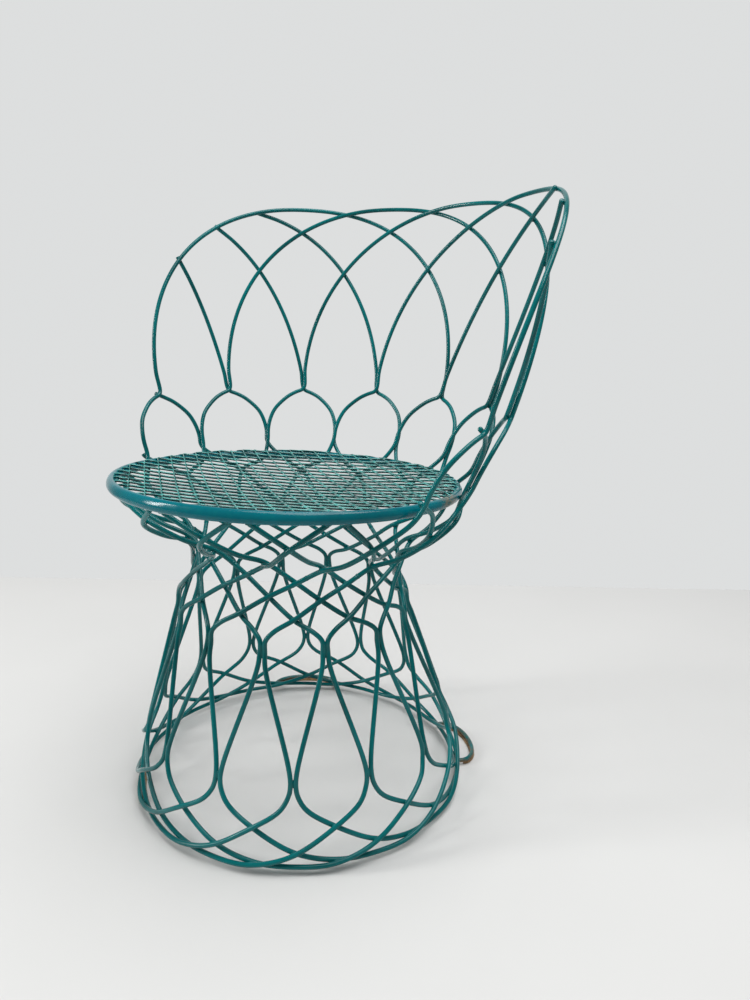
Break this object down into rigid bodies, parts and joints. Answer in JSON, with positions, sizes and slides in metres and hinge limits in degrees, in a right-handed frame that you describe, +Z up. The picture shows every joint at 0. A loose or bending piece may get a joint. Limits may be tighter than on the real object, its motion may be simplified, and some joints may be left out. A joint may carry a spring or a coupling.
{
  "type": "garden chair",
  "caption": "Garden chair of bent and welded steel rod with a waisted base, a round expanded metal seat and a half-round back of overlapping arches.",
  "frame": {"origin": "on the floor under the middle of the whole chair's outline", "axes": "+Z up, the seat faces -Y, +X is towards the right side of a viewer who stands in front"},
  "size_m": [0.6568, 0.5974, 0.8482],
  "materials": {
    "paint": "dark teal paint, satin, worn and dulled outdoors",
    "glide": "worn tan and brown, rough"
  },
  "bodies": {
    "root": {"base_loop_01": "paint", "base_loop_02": "paint", "base_loop_03": "paint", "base_loop_04": "paint", "base_loop_05": "paint", "base_loop_06": "paint", "base_loop_07": "paint", "base_loop_08": "paint", "base_loop_09": "paint", "base_loop_10": "paint", "base_loop_11": "paint", "base_loop_12": "paint", "base_loop_13": "paint", "base_loop_14": "paint", "seat_support_right_1": "paint", "seat_support_left_1": "paint", "seat_support_right_2": "paint", "seat_support_left_2": "paint", "seat_support_right_3": "paint", "seat_support_left_3": "paint", "seat_support_right_4": "paint", "seat_support_left_4": "paint", "seat_support_right_5": "paint", "seat_support_left_5": "paint", "back_arch_1": "paint", "back_arch_2": "paint", "back_arch_3": "paint", "back_arch_4": "paint", "back_side_rod_left_1": "paint", "back_side_rod_right_1": "paint", "back_side_rod_left_2": "paint", "back_side_rod_right_2": "paint", "back_side_rod_left_3": "paint", "back_side_rod_right_3": "paint", "arch_stub_left": "paint", "arch_stub_right": "paint", "ring_stub_left": "paint", "ring_stub_right": "paint", "foot_loop_right": "paint", "foot_loop_left": "paint", "seat_ring": "paint", "seat_mesh": "paint", "glide_rear_right": "glide", "glide_rear_left": "glide", "glide_front_left": "glide"}
  },
  "joints": []
}
